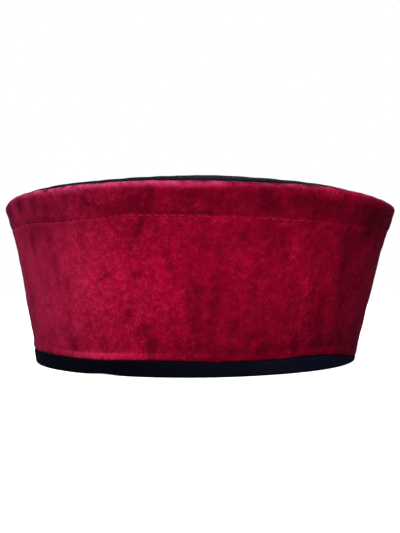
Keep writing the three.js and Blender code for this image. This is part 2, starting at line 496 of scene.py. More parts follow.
def scaled_by(tree, places, factor):
    """Places multiplied by a factor."""
    inputs = {0: places, "Scale": factor}
    return add_node(tree, "ShaderNodeVectorMath", inputs, operation="SCALE").outputs["Vector"]


def noise(tree, places, size, detail, roughness=0.5):
    """Noise from -0.5 to 0.5 with features of a size in the units of the places."""
    scale = calculate(tree, "DIVIDE", 1.0, size)
    inputs = {"Vector": places, "Scale": scale, "Detail": detail, "Roughness": roughness}
    node = add_node(tree, "ShaderNodeTexNoise", inputs, noise_dimensions="3D")
    return calculate(tree, "SUBTRACT", node.outputs["Fac"], MIDDLE)


def new_group(name, inputs, outputs):
    """An empty shader node group with named sockets: its tree, its input sockets and its output node."""
    group = bpy.data.node_groups.new(name, "ShaderNodeTree")
    for label, kind, default in inputs:
        socket = group.interface.new_socket(label, in_out="INPUT", socket_type=kind)
        socket.default_value = default
    for label, kind in outputs:
        group.interface.new_socket(label, in_out="OUTPUT", socket_type=kind)
    given = group.nodes.new("NodeGroupInput")
    result = group.nodes.new("NodeGroupOutput")
    return group, given.outputs, result


FLOAT_SOCKET = "NodeSocketFloat"
COLOUR_SOCKET = "NodeSocketColor"
CLOTH_OUTPUTS = (("Color", COLOUR_SOCKET), ("Roughness", FLOAT_SOCKET), ("Height", FLOAT_SOCKET))
BLACK = (0.0, 0.0, 0.0, 1.0)
WHITE = (1.0, 1.0, 1.0, 1.0)

# The pile's pattern, with sizes in millimetres
PILE_GROUP = "Cloth pile"
PATCH_DETAIL = 3.0
PATCH_ROUGHNESS = 0.65
TUFT_SLANTS = (52, 112)  # degrees from level of the two ways in which tufts are combed
TUFT_DETAIL = 2.0
TUFT_ROUGHNESS = 0.7
SLOW_DETAIL = 1.0
SWIRL_SIZE = 16.0  # how far tufts are combed the same way
SWIRL_SHARPNESS = 6.0
RUFFLE_SIZE = 9.0  # how far tufts stand up together
RUFFLE_SPREAD = 3.2  # how much more they stand up in some places
RUFFLE_LEAST = 0.3
TIPS_SHARPNESS = 3.5  # how strongly single tufts show their pale tips
TIPS_PATCHES = 0.6  # how far patches of tufts show them together
TIPS_LIT = 1.4  # how much more they show where the pile is painted bright, as a painted highlight
FROST_GRAIN = 2.2  # how far frost follows the tufts
PILE_ROUGHNESS = 0.97
PILE_POLISH = 0.15  # how much smoother pile is that is brushed towards the light


def pile_group():
    """Brushed pile: colour, roughness and height from its lay with painted light and shade, from patches
    and from single tufts.
    """
    if PILE_GROUP in bpy.data.node_groups:
        return bpy.data.node_groups[PILE_GROUP]
    inputs = (
        ("Lay And Painted Light", FLOAT_SOCKET, 0.0),
        ("Crush", FLOAT_SOCKET, 1.0),
        ("Tips And Painted Sheen", FLOAT_SOCKET, 0.0),
        ("Deep", COLOUR_SOCKET, BLACK),
        ("Bright", COLOUR_SOCKET, WHITE),
        ("Tips", COLOUR_SOCKET, WHITE),
        ("Patch Size", FLOAT_SOCKET, 6.0),
        ("Tuft Width", FLOAT_SOCKET, 0.8),
        ("Tuft Length", FLOAT_SOCKET, 2.2),
        ("Patches", FLOAT_SOCKET, 1.0),
        ("Tufts", FLOAT_SOCKET, 1.0),
        ("Flecks", FLOAT_SOCKET, 0.0),
    )
    tree, given, result = new_group(PILE_GROUP, inputs, CLOTH_OUTPUTS)
    in_mm = scaled_by(tree, add_node(tree, "ShaderNodeUVMap", uv_map=CLOTH_MAP).outputs["UV"], 1 / MM)
    patch_noise = noise(tree, in_mm, given["Patch Size"], PATCH_DETAIL, PATCH_ROUGHNESS)
    patches = calculate(tree, "MULTIPLY", patch_noise, given["Patches"])
    tuft_sides = {"X": given["Tuft Length"], "Y": given["Tuft Width"], "Z": 1.0}
    tuft_size = add_node(tree, "ShaderNodeCombineXYZ", tuft_sides).outputs["Vector"]
    strokes = []
    for slant in TUFT_SLANTS:
        turned = turned_by(tree, in_mm, math.radians(slant))
        in_tufts = add_node(tree, "ShaderNodeVectorMath", {0: turned, 1: tuft_size}, operation="DIVIDE")
        strokes.append(noise(tree, in_tufts.outputs["Vector"], 1.0, TUFT_DETAIL, TUFT_ROUGHNESS))
    swirl_noise = noise(tree, in_mm, SWIRL_SIZE, SLOW_DETAIL)
    swirl = calculate(tree, "MULTIPLY_ADD", swirl_noise, SWIRL_SHARPNESS, MIDDLE, clamp=True)
    combed = mixed(tree, swirl, strokes[1], strokes[0], "FLOAT")
    ruffle_noise = noise(tree, in_mm, RUFFLE_SIZE, SLOW_DETAIL)
    ruffled = calculate(tree, "MULTIPLY_ADD", ruffle_noise, RUFFLE_SPREAD, 1.0)
    grain = calculate(tree, "MULTIPLY", combed, calculate(tree, "MAXIMUM", ruffled, RUFFLE_LEAST))
    tufts = calculate(tree, "MULTIPLY", grain, given["Tufts"])
    unevenness = calculate(tree, "MULTIPLY", calculate(tree, "ADD", patches, tufts), given["Crush"])
    lay = calculate(tree, "ADD", given["Lay And Painted Light"], unevenness)
    # Share of the bright colour: painted light and shade from the mesh, with the pile's random crush.
    towards_light = calculate(tree, "MULTIPLY_ADD", lay, MIDDLE, MIDDLE, clamp=True)
    brushed = mixed(tree, towards_light, given["Deep"], given["Bright"])
    standing = calculate(tree, "MULTIPLY_ADD", patch_noise, TIPS_PATCHES, grain)
    sharpness = calculate(tree, "MULTIPLY", given["Crush"], TIPS_SHARPNESS)
    tips_stand = calculate(tree, "MULTIPLY", standing, sharpness, clamp=True)
    frost_grain = calculate(tree, "MULTIPLY_ADD", standing, FROST_GRAIN, 1.0)
    frost = calculate(tree, "MULTIPLY", given["Tips And Painted Sheen"], frost_grain)
    lit = calculate(tree, "MULTIPLY_ADD", towards_light, TIPS_LIT, 1 - TIPS_LIT / 2)
    flecks = calculate(tree, "MULTIPLY", given["Flecks"], lit)
    tips_show = calculate(tree, "MULTIPLY_ADD", tips_stand, flecks, frost, clamp=True)
    outputs = {
        "Color": mixed(tree, tips_show, brushed, given["Tips"]),
        "Roughness": calculate(tree, "MULTIPLY_ADD", towards_light, -PILE_POLISH, PILE_ROUGHNESS),
        "Height": unevenness,
    }
    feed(tree, result, outputs)
    return tree


# The weave's pattern
WEAVE_GROUP = "Cloth weave"
EVERY_OTHER = 2.0
SLUB_LENGTH = 9.0  # in threads
SLUB_DETAIL = 3.0
SLUB_ROUGHNESS = 0.7
WEAVE_ROUGHNESS = 0.92
WEAVE_POLISH = 0.12  # how much smoother a thread's crown is


def weave_group():
    """Plain weave: colour and height of threads that pass over and under each other."""
    if WEAVE_GROUP in bpy.data.node_groups:
        return bpy.data.node_groups[WEAVE_GROUP]
    inputs = (
        ("Dark", COLOUR_SOCKET, BLACK),
        ("Light", COLOUR_SOCKET, WHITE),
        ("Lighter", COLOUR_SOCKET, WHITE),
        ("Fade", FLOAT_SOCKET, 0.0),
        ("Thread Spacing", FLOAT_SOCKET, 0.5),
        ("Slant", FLOAT_SOCKET, 0.0),
        ("Slubs", FLOAT_SOCKET, 0.4),
    )
    tree, given, result = new_group(WEAVE_GROUP, inputs, CLOTH_OUTPUTS)
    places = add_node(tree, "ShaderNodeUVMap", uv_map=CLOTH_MAP).outputs["UV"]
    for_each_metre = calculate(tree, "DIVIDE", 1 / MM, given["Thread Spacing"])
    threads = scaled_by(tree, turned_by(tree, places, given["Slant"]), for_each_metre)
    apart = add_node(tree, "ShaderNodeSeparateXYZ", {"Vector": threads})
    crowns = []
    counts = []
    for axis in ("X", "Y"):
        wave = calculate(tree, "SINE", calculate(tree, "MULTIPLY", apart.outputs[axis], math.pi))
        crowns.append(calculate(tree, "ABSOLUTE", wave))
        counts.append(calculate(tree, "FLOOR", apart.outputs[axis]))
    warp_over = calculate(tree, "FLOORED_MODULO", calculate(tree, "ADD", *counts), EVERY_OTHER)
    crown = mixed(tree, warp_over, crowns[1], crowns[0], "FLOAT")
    slub_noise = noise(tree, threads, SLUB_LENGTH, SLUB_DETAIL, SLUB_ROUGHNESS)
    share = calculate(tree, "MULTIPLY_ADD", slub_noise, given["Slubs"], crown, clamp=True)
    light = mixed(tree, given["Fade"], given["Light"], given["Lighter"])
    outputs = {
        "Color": mixed(tree, share, given["Dark"], light),
        "Roughness": calculate(tree, "MULTIPLY_ADD", share, -WEAVE_POLISH, WEAVE_ROUGHNESS),
        "Height": share,
    }
    feed(tree, result, outputs)
    return tree


# Materials

CLOTH_SPECULAR = 0.03
RELIEF_STRENGTH = 0.6
PILE_STORED = {"Lay And Painted Light": LAY_AND_PAINTED_LIGHT, "Crush": CRUSH, "Tips And Painted Sheen": TIPS_AND_PAINTED_SHEEN}


def cloth_material(name, group, pattern, stored, sheen_weight, sheen_roughness, sheen_tint, relief):
    """A cloth whose colour, roughness and relief come from a node group.

    The pattern's values are the same all over the cloth, and the stored ones are held by the mesh.
    """
    material = bpy.data.materials.new(name)
    material.use_nodes = True
    tree = material.node_tree
    cloth = add_node(tree, "ShaderNodeGroup", pattern, node_tree=group)
    for label, attribute in stored.items():
        held = add_node(tree, "ShaderNodeAttribute", attribute_name=attribute, attribute_type="GEOMETRY")
        feed(tree, cloth, {label: held.outputs["Fac"]})
    raising = {"Strength": RELIEF_STRENGTH, "Distance": relief, "Height": cloth.outputs["Height"]}
    finish = {
        "Base Color": cloth.outputs["Color"],
        "Roughness": cloth.outputs["Roughness"],
        "Normal": add_node(tree, "ShaderNodeBump", raising).outputs["Normal"],
        "Specular IOR Level": CLOTH_SPECULAR,
        "Sheen Weight": sheen_weight,
        "Sheen Roughness": sheen_roughness,
        "Sheen Tint": sheen_tint,
    }
    feed(tree, tree.nodes["Principled BSDF"], finish)
    return material


def velvet_material(colours):
    """Red crushed velvet."""
    pattern = {
        "Deep": colours.velvet_deep,
        "Bright": colours.velvet_bright,
        "Tips": colours.velvet_tips,
        "Patch Size": 3.0,
        "Tuft Width": 0.9,
        "Tuft Length": 1.6,
        "Patches": 1.4,
        "Tufts": 0.55,
        "Flecks": 0.2,
    }
    return cloth_material(
        "red_velvet", pile_group(), pattern, PILE_STORED,
        sheen_weight=0.05, sheen_roughness=0.3, sheen_tint=colours.velvet_sheen, relief=0.22 * MM,
    )


def backing_material(colours):
    """Woven back of the wall, which shows inside the cap."""
    pattern = {
        "Dark": colours.backing_dark,
        "Light": colours.backing_light,
        "Thread Spacing": 0.7,
        "Slubs": 0.6,
    }
    return cloth_material(
        "woven_backing", weave_group(), pattern, {},
        sheen_weight=0.1, sheen_roughness=0.5, sheen_tint=colours.velvet_sheen, relief=0.2 * MM,
    )


def top_material(colours):
    """Short black pile of the domed top."""
    pattern = {
        "Deep": colours.top_deep,
        "Bright": colours.top_bright,
        "Tips": colours.top_bright,
        "Patch Size": 7.0,
        "Tuft Width": 0.8,
        "Tuft Length": 1.6,
        "Patches": 1.6,
        "Tufts": 2.6,
    }
    return cloth_material(
        "black_cloth", pile_group(), pattern, PILE_STORED,
        sheen_weight=0.012, sheen_roughness=0.4, sheen_tint=colours.black_sheen, relief=0.2 * MM,
    )


def binding_material(colours):
    """Fine black cloth of the binding, cut on the slant and lighter in places."""
    pattern = {
        "Dark": colours.binding_dark,
        "Light": colours.binding_light,
        "Lighter": colours.binding_lighter,
        "Thread Spacing": 0.42,
        "Slant": math.radians(45),
        "Slubs": 0.5,
    }
    return cloth_material(
        "black_binding", weave_group(), pattern, {"Fade": LIGHTENING},
        sheen_weight=0.012, sheen_roughness=0.4, sheen_tint=colours.black_sheen, relief=0.12 * MM,
    )


def thread_material(colours):
    """Twisted topstitching thread."""
    pattern = {
        "Dark": colours.thread_dark,
        "Light": colours.thread_light,
        "Thread Spacing": 0.12,
        "Slant": math.radians(35),
        "Slubs": 0.5,
    }
    return cloth_material(
        "red_thread", weave_group(), pattern, {},
        sheen_weight=0.05, sheen_roughness=0.4, sheen_tint=colours.velvet_sheen, relief=0.03 * MM,
    )


# The velvet wall

# Points round the wall, and rows of points along its outline
WALL_COLUMNS = 720
LIP_STEPS = 5
FOOT_ROWS = 14
WALL_ROWS = 50
STITCHED_ROWS = 22
HEM_ROWS = 10
ROLL_STEPS = 14
INNER_ROWS = 17
VELVET_ROWS = LIP_STEPS + FOOT_ROWS + WALL_ROWS + STITCHED_ROWS + HEM_ROWS + ROLL_STEPS
LIP_ROUND = 1.2 * MM
FOOT_REACH = 5 * MM  # finer rows this far above the lip
STITCHED_REACH = 3 * MM  # finer rows this far below and above the stitching


class Ridge(NamedTuple):
    """A soft ridge round the velvet: height over its base, half width and rise, in millimetres."""

    base: str
    height: float
    width: float
    proud: float


SEWN_RIDGES = (
    Ridge("wall_foot", 1.8, 1.8, 0.35),
    Ridge("stitching", -1.6, 1.2, 0.05),
    Ridge("stitching", 1.8, 1.4, 0.08),
)


class Mark(NamedTuple):
    """A mark in the pile: press marks, and patches of painted light and shade.

    Its turn is in degrees, and its height, half width, half length up the wall and depth in millimetres.
    Its lay is how far it is painted dark (below 0) or bright (above 0), and its slant the sideways run
    for each unit of rise.
    """

    turn: float
    height: float
    width: float
    length: float
    lay: float
    slant: float = 0
    depth: float = 0


# Besides crushed pile, this table holds painted light and shade: darkening in the dented creases, dark
# pile under the rim, dull pile at the foot, and wide soft patches that make the wall lighter or darker.
MARKS_AND_PAINTED_SHADE = {
    "crease over the binding": Mark(-13.8, 21.5, 2.2, 4.5, -0.75, -0.2, 0.4),
    "foot of that crease": Mark(-12.3, 13.6, 2.1, 5, -1.3, -0.1, 0.4),
    "pale spot beside that crease": Mark(-18.3, 22, 2.2, 3.5, 0.35),
    "streak under the stitching": Mark(-14.8, 66, 1.8, 5.5, -0.95, 0.53, 0.35),
    "long slanting crease": Mark(-8.6, 57.5, 2.2, 11, -0.55, -0.38, 0.25),
    "slanting stroke": Mark(-25.6, 45.5, 1.5, 2.8, -1.0, 1.5, 0.2),
    "slanting stroke below it": Mark(-20.6, 38, 1.6, 1.6, -0.9, 1.9, 0.2),
    "dull patch under the strokes": Mark(-18.2, 29.5, 2.6, 3, -0.6, 0.5, 0.15),
    "dull patch beside the streak": Mark(-20, 64, 7, 4, -0.5, 0, 0.1),
    "dull patch on the stitching": Mark(-21.5, 70.5, 4.5, 5, -0.7),
    "dull patch under the streak": Mark(-14.5, 57, 4, 5, -0.3),
    "dull patch left of the middle": Mark(-7, 43, 3.2, 8, -0.5, 0.2),
    "upper patch at the left": Mark(-44.7, 62, 3, 5, -0.4, 0.6, 0.15),
    "lower patch at the left": Mark(-37.4, 46, 4.5, 5, -0.55, 0.3, 0.15),
    "dull side at the left": Mark(-53, 54, 17, 10, -0.3),
    "left foot patch": Mark(-38.6, 14.4, 4, 3, -0.45, 0.4, 0.2),
    "middle foot patch": Mark(-27.1, 14.6, 3, 3, -0.5, 0, 0.15),
    "upright band in the middle": Mark(0, 29.5, 4, 8, -0.5, 0, 0.2),
    "pale spot in that band": Mark(3.2, 36, 2, 3, 0.35),
    "dull patch in the middle": Mark(-2, 48.5, 6, 7, -0.4, 0, 0.05),
    "dull patch right of the middle": Mark(8, 36, 6, 6, -0.3, 0, 0.05),
    "flat patch in the middle": Mark(-5.5, 24.5, 5, 3, -0.35, 0, 0.1),
    "dull foot left of the middle": Mark(-20, 14.5, 5, 4, -0.5),
    "dull foot in the middle": Mark(-7.2, 14, 4, 4, -0.3),
    "dull foot right of the middle": Mark(14, 11, 9, 3, -0.65, 0, 0.1),
    "dull spot over it": Mark(15.8, 18.5, 3.5, 2.5, -0.6),
    "dull patch beside that spot": Mark(19.5, 20, 6, 5.5, -0.65, 0, 0.1),
    "dull band right of the middle": Mark(18.8, 49, 3, 13, -0.35, 0, 0.1),
    "soft patch at the right": Mark(20, 64, 10, 5.5, -0.55, 0, 0.1),
    "upright band at the right": Mark(45.3, 49, 3.5, 13, -0.3, -0.15, 0.2),
    "right foot patch": Mark(45.5, 15, 4, 4, -0.25, 0, 0.15),
    "pale foot at the right": Mark(54, 20, 7, 9, 0.3),
    "dull foot at the right": Mark(30, 13, 24, 4, -0.4),
    "dull band beside the slack": Mark(37.8, 34, 3, 11, -0.65),
    "pale streak at the right": Mark(25.1, 57.6, 1.8, 6, 0.7, 0.1, -0.1),
    "pale patch beside it": Mark(27.4, 59.5, 2.5, 2.5, 0.2, -0.4, -0.1),
    "pale pile in the middle": Mark(12.6, 47, 5, 9, 0.48, 0.1, -0.1),
    "pale spot in the middle": Mark(10.6, 54, 2.2, 3, 0.55, 0, -0.1),
    "pale pile at the right": Mark(31, 41, 4, 5, 0.35, 0.2, -0.1),
    "pale band under it": Mark(31.6, 35, 3.5, 11, 0.7),
    "pale pile left of the middle": Mark(-8.5, 33.5, 6, 5.5, 0.5, 0, -0.1),
    "pale spot between the creases": Mark(-12.8, 44, 3.5, 3.5, 0.3),
    "dull spot beside it": Mark(-15.8, 45.5, 2.5, 3, -0.4),
    "pale wall at the left": Mark(-28, 32, 28, 8, 0.22),
    "pale pile under the strokes": Mark(-24, 34, 10, 8, 0.28, 0, -0.1),
    "pale foot in the middle": Mark(2.5, 19, 5, 3.5, 0.35),
    "pale patch at the left": Mark(-31.5, 62, 9, 8, 0.5, 0.3, -0.15),
    "dull wall under it": Mark(-46, 42, 18, 12, -0.2),
    "pale side at the left": Mark(-52, 25, 15, 13, 0.5),
    "pale foot at the left": Mark(-43, 15, 8, 4, 0.35),
    "dull line under the crease": Mark(-41, 68.8, 16, 2.6, -0.4),
    "pale hem over the crease": Mark(-48, 74.5, 16, 3, 0.22),
    "pale pile under the middle stitches": Mark(7.5, 67.5, 8, 4, 0.35),
    "pale line along the middle stitches": Mark(6, 71.2, 14, 1.6, 0.3),
    "pale pile on the middle stitches": Mark(3.6, 69.5, 3.5, 4.5, 0.4),
    "pale pile on the right stitches": Mark(18, 72.5, 5, 3, 0.3),
    "pale spot under them": Mark(13, 61, 2.5, 4, 0.4),
    "dark hem over the streak": Mark(-15.3, 76.9, 3, 4.2, -0.6, 0, 0.2),
    "dark hem beside it": Mark(-12.4, 75.5, 1.6, 3, -0.5, 0.3, 0.1),
    "dark hem left of it": Mark(-19.5, 75.5, 5, 3, -0.3),
    "dark hem at the right": Mark(33, 77.5, 4, 4, -0.3),
    "dark hem on the stitches": Mark(-8, 72.7, 11, 1, -0.6),
    "pale hem in the middle": Mark(0, 76.2, 5.5, 2.2, 0.35),
    "pale line under the right stitches": Mark(25, 70.2, 8, 1.2, 0.4),
    "dull pile under the left stitches": Mark(-17, 67.5, 6, 2.5, -0.35),
    "dark hem at the left": Mark(-28, 79, 4, 5, -0.75),
    "dark under the rim, left": Mark(-14, 82, 1.8, 3, -0.35, 0, 0.1),
    "dark under the rim, middle": Mark(-10.6, 80.5, 3.5, 3.5, -0.6, 0, 0.1),
    "dark under the rim, right of it": Mark(-4, 81.5, 4, 2.2, -0.45, 0, 0.1),
    "dark under the rim, right": Mark(4.5, 81.5, 2, 3, -0.35),
    "pale hem, left": Mark(-8, 77.5, 2.4, 3, 0.25, 0.1, -0.1),
    "dull stitches at the right": Mark(42, 70, 12, 6, -0.22),
    "pale hem under the rim, right": Mark(35, 83.3, 9, 2.4, 0.45),
    "rim pushed in at the left": Mark(-90, 87.2, 60, 3.2, 0, 0, 1.5),
    "rim pushed out below it": Mark(-76, 83.5, 16, 2.5, 0, 0, -0.5),
    "wall pushed in at the left": Mark(-90, 48, 50, 13, 0, 0, 0.45),
    "rim pushed in at the right": Mark(88, 84.5, 45, 6, 0, 0, 1.5),
    "slack on the right": Mark(47, 48, 13, 18, -0.05, 0, 0.8),
    "slack at the back": Mark(150, 40, 14, 18, -0.05, 0, 0.8),
}

# Relief of the velvet
CRUSH_RELIEF = (Grain(0.06, 1, 1, 11), Grain(0.08, 2.6, 2.6, 12), Grain(0.16, 11, 11, 13))  # millimetres
CALM = 0.7  # share of that relief that the stitching takes away
CALM_REACH = 1.6 * MM  # how far from the stitching it does so
NEEDLE_HOLE = 0.2 * MM
HOLE_WIDTH = 0.8 * MM
CREASE_DEPTH = 0.11 * MM
CREASE_WIDTH = 0.5 * MM
SEAM_WIDTH = 1.1 * MM
SEAM_DEPTH = 0.6 * MM

# Zones along the sewing, in millimetres, where the pile changes and where light and shade are painted
# Rows of a table named _ROUND start with degrees round the cap, and those of one named _UP with a height.
# The rim's own lay and painted light is full down to the first depth below its top, and ends at the
# second.
RIM_FULL_ROUND = ((-180, 1.2), (4, 1.2), (14, 1.8), (25, 3.4), (40, 3.4), (60, 2.8), (180, 1.2))
RIM_END_ROUND = (
    (-180, 5), (-45, 5.4), (-25, 4.4), (-2, 4.4), (6, 5.2), (20, 6.6), (32, 7.4), (60, 6.4), (180, 5),
)
RIM_TIPS = (-1.2, 1.2, 3.7)  # where the pale tips that paint the rim's sheen begin, past the top, and where they are fullest and end
CREST_WIDTH = 0.8  # half width of the painted shade along the rim's top
RIM_BORDER_WAVER = 0.35
HEM_START = 0.4  # above the stitching
HEM_FULL = 1.6
CREASE_LINE = 0.4
# Where the stitching pulls a crease, painted dark there as painted shade, and where the pile hides the
# stitches
CREASED_ROUND = ((-180, 0), (-90, 1), (-28, 1), (-18, 0), (180, 0))
SUNK_ROUND = (
    (-180, 0), (-90, 1), (-28, 1), (-18, 0.45), (4, 0.28), (28, 0.25), (38, 1), (90, 1), (110, 0),
)
# Painted highlights above the binding, where the velvet bends over it: height, half width and strength
# of each, and the degrees round the cap where they are brightest and fade out
FOOT_LINES = ((1.5, 0.6, 0.7), (2.9, 0.7, 1.0))
FOOT_LINE_TURN = -29
FOOT_LINE_REACH = 14
LIP_SHADE = 0.8  # height over the binding up to which the lip is painted dark: painted shade where it curls under

# How far the pile is painted dark (below 0) or bright (above 0). The grain and rim fuzz are its own
# random tone; the zones and the tables round the cap and up the wall paint light and shade.
LAY_GRAIN = (Grain(0.08, 4, 1.6, 14), Grain(0.14, 2.4, 2.2, 15), Grain(0.12, 5.5, 4.5, 16))
RIM_FUZZ = Grain(1, 0.8, 1.4, 17)
RIM_FUZZ_LAY = 0.14
# Of these zones, the crease, crest and lip paint shade, and the foot lines paint a highlight
ZONE_LAY = {"hem": -0.54, "crease": -0.8, "crest": -0.8, "foot lines": 1.3, "lip": -0.6, "seam": -0.35}
LAY_ROUND = (
    (-180, 0), (-90, -0.1), (-60, -0.1), (-48, -0.2), (-34, 0), (-14, 0), (-6, -0.1), (1, -0.25),
    (10, -0.1), (42, 0), (56, -0.25), (66, 0.1), (90, 0.1), (180, 0),
)
# Up the wall: painted shade that darkens the wall towards the floor
LAY_UP = ((7, -0.4), (19, -0.4), (28, -0.2), (37, 0), (46, 0.12), (55, 0), (66, -0.05))
RIM_LAY_ROUND = (
    (-180, 0.1), (-60, -0.4), (-40, -0.15), (-34, -0.2), (-26, -0.5), (-18, -0.4), (-12, -0.28),
    (-6, 0.05), (4, 0), (9, -0.2), (16, -0.35), (22, -0.45), (26, -0.2), (29, 0.1), (42, 0.15),
    (60, 0.1), (180, 0.1),
)

# How far the pale tips of the pile are painted on: a painted sheen on the rolled rim, over the binding
# and on the lit left side
RIM_FROST_ROUND = (
    (-180, 0.4), (-50, 0.38), (-40, 0.5), (-26, 0.44), (-16, 0.4), (-5, 0.38), (4, 0.3), (12, 0.2),
    (60, 0.2), (180, 0.4),
)
RIM_FROST_FUZZ = 0.4
SIDE_FROST_UP = ((8, 0.8), (22, 0.85), (34, 1), (60, 1), (70, 0.9), (74, 1.15), (82, 1.25))
FOOT_LINE_FROST = 0.16
SIDE_FROST_LIT = 0.8  # how much more of the painted sheen shows at the side where the pile is painted bright
SIDE_FROST_ROUND = (
    (-180, 0), (-130, 0), (-100, 0.2), (-60, 0.2), (-48, 0.165), (-38, 0.12), (-29, 0.075), (-20, 0.02),
    (-10, 0), (180, 0),
)

# How strongly the pile is crushed, round the cap
CRUSH_ROUND = (
    (-180, 1.2), (-90, 0.7), (-52, 0.6), (-42, 1.0), (-28, 1.35), (-12, 1.3), (4, 0.8), (20, 0.95),
    (34, 1.1), (55, 1.1), (180, 1.2),
)
HEM_CALM = 0.25  # share of it that is pressed out of the hem
MARK_CRUSH = 0.9  # how much more it is crushed in a bright mark, and less in a dark one
MARK_CRUSH_LIMITS = (-0.15, 0.8)


def wall_surface(shape, height):
    """Radius of the velvet at a height: the flare, and the sewn ridges that stand out from it."""
    bases = {"wall_foot": shape.wall_foot, "stitching": shape.sizes.stitch_height}
    radius = shape.flare_radius(height)
    for ridge in SEWN_RIDGES:
        place = bases[ridge.base] + ridge.height * MM
        radius = radius + ridge.proud * MM * bump(height, place, ridge.width * MM)
    return radius


def wall_outline(shape):
    """Closed outline of the wall: lip, outer face, rolled rim, inner face, and tongue in the binding."""
    sizes = shape.sizes
    slot_side = sizes.binding_cloth + sizes.seat_gap
    tongue_outside = shape.binding_outside - slot_side
    tongue_inside = shape.binding_inside + slot_side
    lip_top = shape.wall_foot + LIP_ROUND
    lip_middle = wall_surface(shape, lip_top) - LIP_ROUND
    lip = arc(lip_middle, lip_top, LIP_ROUND, -math.pi / 2, 0, LIP_STEPS)[:-1]
    roll_middle = shape.rim_radius - shape.roll_radius / math.cos(shape.hem_lean)
    roll_end = math.pi - shape.hem_lean
    roll = arc(roll_middle, shape.roll_height, shape.roll_radius, -shape.hem_lean, roll_end, ROLL_STEPS)
    borders = (
        (lip_top, FOOT_ROWS),
        (lip_top + FOOT_REACH, WALL_ROWS),
        (sizes.stitch_height - STITCHED_REACH, STITCHED_ROWS),
        (sizes.stitch_height + STITCHED_REACH, HEM_ROWS),
        (roll[0, 1], 0),
    )
    stretches = []
    for (start, rows), (end, _) in zip(borders, borders[1:]):
        stretches.append(np.linspace(start, end, rows, endpoint=False))
    outer_height = np.concatenate(stretches)
    outer = side_by_side(wall_surface(shape, outer_height), outer_height)
    inner_height = np.linspace(roll[-1, 1], shape.wall_foot, INNER_ROWS + 1)[1:]
    doubled = smooth_step(inner_height, sizes.hem_foot - HEM_BEND, sizes.hem_foot + HEM_BEND)
    backing = sizes.wall_thickness + (sizes.hem_thickness - sizes.wall_thickness) * doubled
    lean = np.where(inner_height > sizes.hem_foot, shape.hem_lean, shape.wall_lean)
    inner = side_by_side(shape.flare_radius(inner_height) - backing / np.cos(lean), inner_height)
    tongue = np.array(
        [
            [tongue_inside, shape.wall_foot],
            [tongue_inside, slot_side],
            [tongue_outside, slot_side],
            [tongue_outside, shape.wall_foot],
        ]
    )
    return np.concatenate([lip, outer, roll, inner, tongue])


def marks_at(grid):
    """Depth of the marks, and their lay with painted light and shade."""
    depth = np.zeros(grid.size)
    lay = np.zeros_like(depth)
    for mark in MARKS_AND_PAINTED_SHADE.values():
        rise = grid.height - mark.height * MM
        aside = grid.radius * turn_apart(grid.turn, math.radians(mark.turn)) - mark.slant * rise
        share = bump(aside, 0, mark.width * MM) * bump(rise, 0, mark.length * MM)
        depth += mark.depth * MM * share
        lay += mark.lay * share
    return depth, lay


def wall_relief(shape, grid, mark_depth):
    """How far the velvet stands out: crushed pile, press marks, needle holes, crease and back seam."""
    sizes = shape.sizes
    from_stitches = grid.height - sizes.stitch_height
    calm = 1 - CALM * bump(from_stitches, 0, CALM_REACH)
    stitch_phase = grid.turn * shape.stitches / math.tau
    from_hole = (stitch_phase - np.round(stitch_phase)) * sizes.stitch_pitch
    holes = NEEDLE_HOLE * bump(from_hole, 0, HOLE_WIDTH) * bump(from_stitches, 0, HOLE_WIDTH)
    crease = CREASE_DEPTH * bump(from_stitches, 0, CREASE_WIDTH) * from_table(grid.degrees, CREASED_ROUND)
    seam = SEAM_DEPTH * bump(grid.from_back_seam, 0, SEAM_WIDTH)
    relief = calm * grid.uneven(*CRUSH_RELIEF) * MM - holes - crease - seam - mark_depth
    relief[VELVET_ROWS:] = 0
    return relief


def wall_zones(shape, grid):
    """Shares of the zones along the sewing, where the pile and the painted light and shade change, and
    the fuzz of the rim.
    """
    fuzz = grid.uneven(RIM_FUZZ)
    above_stitches = (grid.height - shape.sizes.stitch_height) / MM
    below_top = (shape.sizes.cap_height - grid.height) / MM
    past_top = np.arange(grid.rows)[:, None] > grid.height.argmax()
    below_top = np.where(past_top, -below_top, below_top) + RIM_BORDER_WAVER * fuzz
    above_binding = (grid.height - shape.wall_foot) / MM
    rim_full = from_table(grid.degrees, RIM_FULL_ROUND)
    rim = 1 - smooth_step(below_top, rim_full, from_table(grid.degrees, RIM_END_ROUND))
    lines = sum(strength * bump(above_binding, middle, width) for middle, width, strength in FOOT_LINES)
    return {
        "fuzz": fuzz,
        "rim": rim,
        "rim tips": hill(below_top, *RIM_TIPS),
        "crest": bump(below_top, 0, CREST_WIDTH),
        "hem": smooth_step(above_stitches, HEM_START, HEM_FULL) * (1 - rim),
        "crease": bump(above_stitches, 0, CREASE_LINE) * from_table(grid.degrees, CREASED_ROUND),
        "foot lines": lines * bump(grid.degrees, FOOT_LINE_TURN, FOOT_LINE_REACH),
        "lip": bump(above_binding, 0, LIP_SHADE),
        "seam": bump(grid.from_back_seam, 0, SEAM_WIDTH),
    }


def wall_lay_and_painted_light(grid, zones, mark_lay):
    """Which way the pile lies, with painted light and shade: by the sewing, the marks, slow changes and
    single tufts.
    """
    sewn = sum(lay * zones[zone] for zone, lay in ZONE_LAY.items())
    rim = from_table(grid.degrees, RIM_LAY_ROUND) + RIM_FUZZ_LAY * zones["fuzz"]
    below_rim = from_table(grid.degrees, LAY_ROUND) + from_table(grid.height / MM, LAY_UP)
    slow = rim * zones["rim"] + below_rim * (1 - zones["rim"])
    return mark_lay + sewn + slow + grid.uneven(*LAY_GRAIN)


